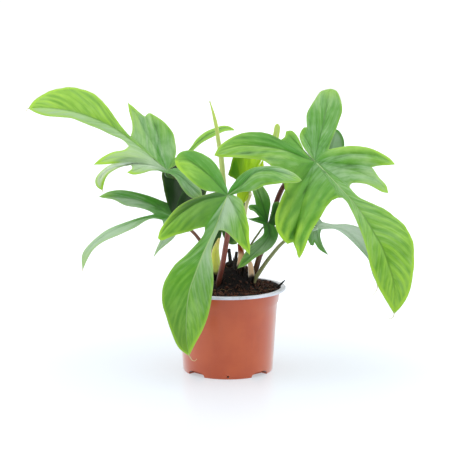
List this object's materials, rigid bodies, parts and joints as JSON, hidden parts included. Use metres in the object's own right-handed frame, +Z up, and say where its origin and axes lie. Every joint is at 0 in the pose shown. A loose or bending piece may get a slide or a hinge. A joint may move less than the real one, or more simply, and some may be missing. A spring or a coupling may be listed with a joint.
{
  "type": "potted philodendron",
  "caption": "Philodendron with large, deeply lobed green leaves on bent stalks, growing from dark peat in a round plastic nursery pot with a turned-out rim and drain notches in its foot",
  "frame": {"origin": "centre of the pot's flat underside, on the floor", "axes": "+Z up, the plant's front faces -Y, +X runs along the spread of the leaves to the right as seen from the front"},
  "size_m": [0.3909, 0.1883, 0.2889],
  "materials": {
    "pot": "terracotta outside with a soft sheen, pale grey inside and on the rim",
    "peat": "loose dark peat with crumbs and bits of bark",
    "blade_green": "waxy leaf, light midribs and side veins, yellow-green margins, paler underside",
    "blade_young": "young leaf, yellow-green and slightly translucent",
    "blade_dark": "shaded leaf, deep green with a waxy sheen",
    "blade_pale": "leaf seen from its grey-green underside",
    "stalk_red": "smooth red-brown stalk, greener towards the blade",
    "stalk_olive": "smooth olive-green stalk",
    "stalk_green": "smooth yellow-green stalk and rolled new leaf",
    "bark": "dark dry stub and bark",
    "sheath_green": "thin yellow-green sheath",
    "sheath_dry": "thin drying sheath, peach to brown"
  },
  "bodies": {
    "root": {"pot": "pot", "soil": "peat", "leaf_high_left": "blade_green", "leaf_front": "blade_green", "leaf_right": "blade_green", "leaf_low_left": "blade_green", "leaf_young": "blade_young", "leaf_small": "blade_dark", "leaf_low_right": "blade_pale", "leaf_back_right": "blade_pale", "leaf_back_low": "blade_dark", "stalk_high_left": "stalk_red", "stalk_front": "stalk_red", "stalk_right": "stalk_red", "stalk_low_left": "stalk_red", "stalk_young": "stalk_green", "stalk_small": "stalk_olive", "stalk_low_right": "stalk_olive", "stalk_back_right": "stalk_olive", "stalk_back_low": "stalk_olive", "spear": "stalk_green", "stub_left": "bark", "stub_right": "bark", "twig": "bark", "sheath_green": "sheath_green", "sheath_peach": "sheath_dry", "sheath_pale": "sheath_dry"}
  },
  "joints": []
}
